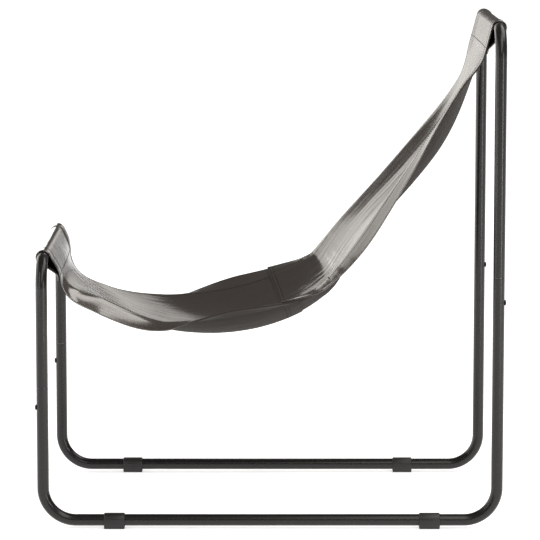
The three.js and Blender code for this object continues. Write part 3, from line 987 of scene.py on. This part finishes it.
class LeatherPanel:
    """One panel of the sling: where its leather lies on the sling's surface"""

    def __init__(self, surface, stitches, start, end, lift):
        self.surface = surface
        self.sling = surface.sling
        self.hem_row = surface.hem_line + (self.sling.back_hem_row if lift else self.sling.hem_row)
        self.stitches = stitches
        self.start = start
        self.end = end
        self.lift = lift

    def skewed(self, run, across):
        """The lap seam isn't quite square to the sling"""
        near_lap = math.exp(-((run - self.sling.seat_run) / LAP_SKEW_REACH) ** 2)
        return run + self.sling.lap_skew * across / self.surface.edge * near_lap

    def pocket_share(self, run):
        """1 in a pocket, fading out along the open sling"""
        from_pocket = min(max(run, 0.0), max(self.surface.line_length - run, 0.0))
        return 1 - smooth_step(from_pocket, 0.0, POCKET_FADE)

    def lap_share(self, run):
        """1 where the back panel lies on the seat panel's end"""
        if not self.lift:
            return 0.0
        return 1 - smooth_step(run - self.sling.seat_run - self.sling.lap, 0.0, LAP_FADE)

    def level(self, run, across):
        """The leather's middle above the surface: it is thinner than its solid, and doubled at its hems"""
        layer = self.sling.layer
        turning = self.surface.hem_line - self.sling.hem_turning
        hem = smooth_step(abs(across), turning - HEM_STEP, turning)
        pocket = SHEET_RADIUS - TUBE_RADIUS - SOLID_CLEARANCE - self.sling.thickness / 2
        lap = LAYER_STEP - layer
        pocket_share, lap_share = self.pocket_share(run), self.lap_share(run)
        tucked = pocket * pocket_share + lap * lap_share
        raised = layer * hem * (pocket_share + lap_share)
        return raised - tucked

    def relief(self, run, across):
        """Folds, stretch lines and creases of used leather"""
        sling = self.sling
        open_sling = 1 - self.pocket_share(run)
        inside = 1 - smooth_step(abs(across), self.surface.hem_line - FOLD_FADE, self.surface.hem_line)
        folds = noise.noise(Vector((across / FOLD_WIDTH, run / FOLD_LENGTH, FOLD_SLICE)))
        line_place = Vector((across / STREAK_WIDTH, run / STREAK_LENGTH, STREAK_SLICE))
        lines = noise.fractal(line_place, STREAK_FALL, STREAK_SPREAD, STREAK_LEVELS)
        kink = math.exp(-((run - KINK_RUN) / CREASE_REACH) ** 2)
        creases = noise.noise(Vector((across / CREASE_LENGTH, run / CREASE_WIDTH, CREASE_SLICE)))
        return (
            sling.long_folds * folds * (HEM_FOLDS + (1 - HEM_FOLDS) * inside) * open_sling
            + sling.streaks * lines * (1 + KINK_STREAKS * kink)
            + sling.bend_creases * creases * kink
            - self.stitches.groove * self.groove(across))

    def groove(self, across):
        """Where the hem rows pull the leather in"""
        return math.exp(-((abs(across) - self.hem_row) / GROOVE_REACH) ** 2)

    def at(self, run, across, drop=0.0):
        """Point and normal of the leather's middle, `drop` under its upper layer"""
        point, normal = self.surface.at(self.skewed(run, across), across)
        height = self.lift + self.level(run, across) + self.relief(run, across) - drop
        return point + normal * height, normal


def sling_panels(settings):
    surface = SlingSurface(settings.sling)
    sling = settings.sling
    seat = LeatherPanel(surface, settings.stitches, surface.runs[0], sling.seat_run + sling.lap, 0.0)
    back = LeatherPanel(surface, settings.stitches, sling.seat_run, surface.runs[-1], LAYER_STEP)
    return seat, back


def sheet_columns(panel):
    """(flat place, place across, drop) of each column: turned hem, edge, panel, edge, turned hem"""
    surface, layer = panel.surface, panel.sling.layer
    turning = surface.hem_line - panel.sling.hem_turning
    edge = surface.edge - layer / 2
    main = [column for column in surface.columns if abs(column) < edge]
    under = [column for column in main if column >= turning]
    half = [(column, 0.0) for column in main if column >= 0] + [(edge, 0.0)]
    for step in range(1, EDGE_STEPS):
        angle = math.pi * step / EDGE_STEPS
        half.append((edge + layer / 2 * math.sin(angle), layer / 2 * (1 - math.cos(angle))))
    half.append((edge, layer))
    half += [(column, layer) for column in reversed(under)]
    flat = [0.0]
    for (before, high), (after, low) in zip(half, half[1:]):
        flat.append(flat[-1] + math.hypot(after - before, low - high))
    right_half = [(place, *column) for place, column in zip(flat, half)]
    left_half = [(-place, -across, drop) for place, across, drop in reversed(right_half[1:])]
    return left_half + right_half


def sheet_rows(panel):
    """Runs of the sheet's rows, the surface's own between the panel's ends"""
    inside = [run for run in panel.surface.runs if run - panel.start > FINE_STEP and run < panel.end]
    return [panel.start, *inside, panel.end]


def leather_sheet(panel):
    """A grid laid where the panel's leather lies, with its own flat sizes as its UV map"""
    columns, rows = sheet_columns(panel), sheet_rows(panel)
    bm = bmesh.new()
    bmesh.ops.create_grid(bm, x_segments=len(columns) - 1, y_segments=len(rows) - 1, size=1.0)
    uv = bm.loops.layers.uv.new("flat")
    bm.verts.ensure_lookup_table()
    flat_places, turned_under = {}, set()
    for index, vert in enumerate(bm.verts):
        row, column = divmod(index, len(columns))
        flat, across, drop = columns[column]
        vert.co = panel.at(rows[row], across, drop)[0]
        flat_places[vert] = (flat, rows[row])
        if drop > TURNED_DROP * panel.sling.layer:
            turned_under.add(vert)
    for face in bm.faces:
        face.smooth = True
        face.material_index = FLESH_SIDE if turned_under.issuperset(face.verts) else GRAIN_SIDE
        for loop in face.loops:
            loop[uv].uv = flat_places[loop.vert]
    for edge in bm.edges:
        edge.smooth = not edge.is_boundary
    flat_size = (columns[-1][0] - columns[0][0], rows[-1] - rows[0])
    return bm, flat_size


def add_thickness(piece, thickness):
    solid = piece.modifiers.new("thickness", "SOLIDIFY")
    solid.thickness = thickness
    solid.offset = 0.0
    solid.use_even_offset = True
    solid.material_offset = FLESH_SIDE
    solid.material_offset_rim = CUT_EDGE


class SLINGCHAIR_OT_sling(bpy.types.Operator):
    """Cuts the two leather panels, turns their hems under and hangs them on the crossbars"""

    bl_idname = "sling_chair.sling"
    bl_label = "Leather sling"

    def execute(self, context):
        settings = context.scene.sling_chair
        sling = settings.sling
        finishes = [grain_leather(sling), flesh_leather(sling), cut_edge(sling)]
        for name, panel, hoop in zip(("seat", "back"), sling_panels(settings), ("front_hoop", "rear_hoop")):
            bm, flat_size = leather_sheet(panel)
            piece = add_piece(f"{name}_leather", bm, finishes, [f"{name}_panel"])
            add_thickness(piece, sling.thickness)
        return {"FINISHED"}


# Stitching

STITCH_SIDES = 6
STITCH_RINGS = 5
TACK_STEPS = 6


def stitch_mesh(stitches):
    """One stitch: a short round of thread that lies along X"""
    bm = bmesh.new()
    size = Matrix.Diagonal((stitches.length, stitches.width, stitches.width, 1))
    lying = Matrix.Rotation(QUARTER_TURN, 4, "Y")
    bmesh.ops.create_uvsphere(
        bm, u_segments=STITCH_SIDES, v_segments=STITCH_RINGS, radius=0.5, matrix=size @ lying)
    for face in bm.faces:
        face.smooth = True
    mesh = bpy.data.meshes.new("stitch")
    bm.to_mesh(mesh)
    bm.free()
    return mesh


def add_stitch(bm, stitch, point, normal, along):
    """Lays a copy of the stitch on the leather"""
    across = normal.cross(along).normalized()
    turned = Matrix((along, across, normal)).transposed().to_4x4()
    laid = stitch.copy()
    laid.transform(Matrix.Translation(point) @ turned)
    bm.from_mesh(laid)
    bpy.data.meshes.remove(laid)


def sew_row(bm, stitch, panel, places):
    """Stitches along a list of (run, across) places, above and under two layers of leather"""
    upper = panel.sling.thickness / 2
    lower = upper + panel.sling.layer
    path = [panel.at(*place) for place in places]
    lengths = [0.0]
    for (before, _), (after, _) in zip(path, path[1:]):
        lengths.append(lengths[-1] + (after - before).length)
    count = max(int(lengths[-1] / panel.stitches.pitch), 1)
    for step in range(count):
        middle = (step + 0.5) * lengths[-1] / count
        index = min(bisect.bisect_right(lengths, middle), len(lengths) - 1)
        share = (middle - lengths[index - 1]) / (lengths[index] - lengths[index - 1])
        point = path[index - 1][0].lerp(path[index][0], share)
        normal = path[index - 1][1].lerp(path[index][1], share).normalized()
        along = (path[index][0] - path[index - 1][0]).normalized()
        normal = (normal - along * normal.dot(along)).normalized()
        add_stitch(bm, stitch, point + normal * upper, normal, along)
        add_stitch(bm, stitch, point - normal * lower, -normal, along)


def along_row(across, start, end):
    """Places of a row that runs along the sling"""
    count = max(round((end - start) / ROW_STEP), 1)
    return [(start + (end - start) * step / count, across) for step in range(count + 1)]


def across_row(run, reach):
    """Places of a row that runs across the sling"""
    count = round(2 * reach / COLUMN_STEP)
    return [(run, -reach + 2 * reach * step / count) for step in range(count + 1)]


def bar_tack(run, across, stitches):
    """Places of a short row across a hem row"""
    start = across - stitches.tack_length / 2
    return [(run, start + stitches.tack_length * step / TACK_STEPS) for step in range(TACK_STEPS + 1)]


class SLINGCHAIR_OT_stitching(bpy.types.Operator):
    """Sews the hems, the pockets and the lap seam"""

    bl_idname = "sling_chair.stitching"
    bl_label = "Stitching"

    def execute(self, context):
        settings = context.scene.sling_chair
        sling, stitches = settings.sling, settings.stitches
        thread = waxed_thread(stitches.colour)
        stitch = stitch_mesh(stitches)
        seat, back = sling_panels(settings)
        surface = seat.surface
        reach = surface.edge - stitches.edge_gap
        first_lap_row = sling.seat_run + stitches.edge_gap
        for name, panel in (("seat", seat), ("back", back)):
            bm = bmesh.new()
            pocket_run = -POCKET_ALLOWANCE if panel is seat else surface.line_length + POCKET_ALLOWANCE
            hem_end = first_lap_row if panel is seat else panel.end
            hem_start = panel.start if panel is seat else first_lap_row
            rows = [along_row(side * panel.hem_row, hem_start, hem_end) for side in SIDES]
            rows.append(across_row(pocket_run, reach))
            if panel is back:
                for side in SIDES:
                    second_row = side * (panel.hem_row - stitches.row_gap)
                    rows.append(along_row(second_row, first_lap_row, stitches.tack_run))
                    for run in (stitches.tack_run, stitches.tack_run + stitches.width):
                        rows.append(bar_tack(run, side * panel.hem_row, stitches))
                for run in (first_lap_row, first_lap_row + stitches.row_gap):
                    rows.append(across_row(run, reach))
            for row in rows:
                sew_row(bm, stitch, panel, row)
            add_piece(f"{name}_stitching", bm, [thread])
        bpy.data.meshes.remove(stitch)
        return {"FINISHED"}


# Studio

GLOW_START, GLOW_END = 0.8, 4.0  # distances over which the floor's own glow rises
GLOW_NEAR, GLOW_FAR = 0.62, 1.0
LIGHT_COLOUR = (1.0, 0.965, 0.915)


def floor_material(colour):
    """Pale floor that fades into a plain white far away"""
    material, tree, shader = shader_material("pale_floor", Roughness=0.9, Specular_IOR_Level=0.1)
    shader.inputs["Base Color"].default_value = opaque(colour)
    shader.inputs["Emission Color"].default_value = (1, 1, 1, 1)
    place = add_node(tree, "ShaderNodeTexCoord")
    distance = add_node(tree, "ShaderNodeVectorMath", {0: place.outputs["Object"]}, operation="LENGTH")
    glow = add_node(tree, "ShaderNodeMapRange", {
        "Value": distance.outputs["Value"], "From Min": GLOW_START, "From Max": GLOW_END,
        "To Min": GLOW_NEAR, "To Max": GLOW_FAR})
    tree.links.new(glow.outputs["Result"], shader.inputs["Emission Strength"])
    return material


# Softboxes: name, place, direction, width and height, brightness against a white floor
SOFT_LIGHTS = (
    ("front_wall", (-5.75, -3.0, 1.42), (0, 1, 0), (13.5, 2.84), 1.8),
    ("rear_panel_high", (-2.4, -0.025, 1.62), (1, 0, 0), (0.35, 1.56), 1.1),
    ("rear_panel_low", (-2.4, -0.12, 0.72), (1, 0, 0), (0.54, 0.24), 0.9),
    ("pocket_panel", (-2.4, 0.24, 0.98), (1, 0, 0), (0.24, 0.28), 0.9),
    ("front_wall_high", (-8.75, -3.0, 3.72), (0, 1, 0), (7.5, 1.76), 1.6),
    ("rim_panel", (-1.0, -0.64, 0.68), (1, 0, 0), (0.17, 0.36), 3.0),
    ("top_light", (4.4, 1.25, 3.4), (0, 0, -1), (7.2, 1.9), 3.0),
    ("rear_top_light", (-0.8, 2.4, 3.4), (0, 0, -1), (3.2, 2.9), 3.0),
    ("front_strip", (1.27, -1.27, 1.2), (-0.85, 0.53, 0), (0.14, 1.7), 8.0),
    ("rear_strip", (3.0, 2.9, 0.9), (-0.72, -0.69, 0), (0.45, 1.8), 12.0),
)


def soft_light(name, place, aim, size, radiance):
    """A rectangular softbox that the camera doesn't see"""
    light = bpy.data.lights.new(name, "AREA")
    light.shape = "RECTANGLE"
    light.size, light.size_y = size
    light.energy = radiance * math.pi * size[0] * size[1]
    lamp = bpy.data.objects.new(name, light)
    lamp.location = place
    lamp.rotation_euler = aim.to_track_quat("-Z", "Y").to_euler()
    light.color = LIGHT_COLOUR
    lamp.visible_camera = False
    bpy.context.scene.collection.objects.link(lamp)


class SLINGCHAIR_OT_studio(bpy.types.Operator):
    """Sets up the camera, the soft lights and the pale floor"""

    bl_idname = "sling_chair.studio"
    bl_label = "Studio"

    def execute(self, context):
        scene = context.scene
        studio = scene.sling_chair.studio
        camera = bpy.data.objects.new("camera", bpy.data.cameras.new("camera"))
        camera.data.lens = studio.lens
        camera.data.clip_end = studio.floor_size
        camera.location = (studio.camera_distance, 0, studio.camera_height)
        camera.rotation_euler = (QUARTER_TURN - studio.camera_fall, 0, QUARTER_TURN)
        scene.collection.objects.link(camera)
        scene.camera = camera

        bm = bmesh.new()
        bmesh.ops.create_grid(bm, x_segments=1, y_segments=1, size=studio.floor_size / 2)
        mesh = bpy.data.meshes.new("floor")
        bm.to_mesh(mesh)
        bm.free()
        mesh.materials.append(floor_material(studio.floor_colour))
        floor = bpy.data.objects.new("floor", mesh)
        scene.collection.objects.link(floor)

        for name, place, aim, size, radiance in SOFT_LIGHTS:
            soft_light(name, Vector(place), Vector(aim), size, radiance)

        world = bpy.data.worlds.new("surroundings")
        world.use_nodes = True
        background = world.node_tree.nodes["Background"]
        background.inputs["Color"].default_value = (1, 1, 1, 1)
        background.inputs["Strength"].default_value = studio.room_light
        scene.world = world
        scene.view_settings.view_transform = "Standard"
        return {"FINISHED"}


OPERATORS = (
    SLINGCHAIR_OT_tube_frame,
    SLINGCHAIR_OT_bolts,
    SLINGCHAIR_OT_glides,
    SLINGCHAIR_OT_hidden_fittings,
    SLINGCHAIR_OT_stitching,
    SLINGCHAIR_OT_sling,
    SLINGCHAIR_OT_studio,
)


class SLINGCHAIR_PT_panel(bpy.types.Panel):
    """Lists the chair's sizes and the steps that build it"""

    bl_idname = "SLINGCHAIR_PT_panel"
    bl_label = "Sling chair"
    bl_space_type = "VIEW_3D"
    bl_region_type = "UI"
    bl_category = "Sling chair"

    def draw(self, context):
        settings = context.scene.sling_chair
        for group_name in SlingChairSettings.__annotations__:
            group = getattr(settings, group_name)
            box = self.layout.box()
            for name in group.__annotations__:
                box.prop(group, name)
        for operator in OPERATORS:
            self.layout.operator(operator.bl_idname)


CLASSES = (
    TubeFrameSizes,
    FittingSizes,
    SlingSizes,
    StitchSizes,
    StudioSettings,
    SlingChairSettings,
    *OPERATORS,
    SLINGCHAIR_PT_panel,
)


def register():
    for item in CLASSES:
        bpy.utils.register_class(item)
    bpy.types.Scene.sling_chair = PointerProperty(type=SlingChairSettings)


def unregister():
    del bpy.types.Scene.sling_chair
    for item in reversed(CLASSES):
        bpy.utils.unregister_class(item)


def main():
    register()
    bpy.ops.sling_chair.tube_frame()
    bpy.ops.sling_chair.bolts()
    bpy.ops.sling_chair.glides()
    bpy.ops.sling_chair.hidden_fittings()
    bpy.ops.sling_chair.stitching()
    bpy.ops.sling_chair.sling()
    bpy.ops.sling_chair.studio()
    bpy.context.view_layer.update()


if __name__ == "__main__":
    main()
